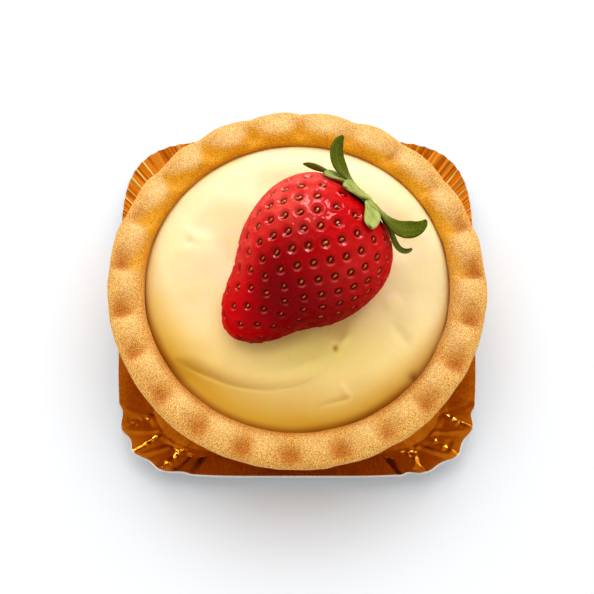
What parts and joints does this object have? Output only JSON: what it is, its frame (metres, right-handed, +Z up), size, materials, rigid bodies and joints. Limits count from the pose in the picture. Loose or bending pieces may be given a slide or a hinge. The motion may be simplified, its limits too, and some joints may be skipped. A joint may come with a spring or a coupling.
{
  "type": "custard tartlet",
  "caption": "Round custard tartlet with a crimped pastry rim, a smooth custard filling and a leafy strawberry laid on top, in a square gold card tray with pleated corners.",
  "frame": {"origin": "on the table, under the middle of the tartlet and its tray", "axes": "+Z up, +Y towards the back, away from the viewer of the picture, +X to the viewer's right"},
  "size_m": [0.0802, 0.08, 0.0454],
  "materials": {
    "gold_card": "thin card with a shiny deep gold face and fine pleats",
    "pastry": "matte sandy shortcrust, golden with browner dents",
    "custard": "smooth satin pale yellow cream",
    "berry_skin": "glossy red skin with small pits",
    "seed": "small straw-coloured seeds in the skin's pits",
    "leaf": "soft green leaf, paler on the shoulder of the berry"
  },
  "bodies": {
    "root": {"tray": "gold_card", "crust": "pastry", "custard": "custard", "strawberry": "berry_skin", "leaves": "leaf"}
  },
  "joints": []
}
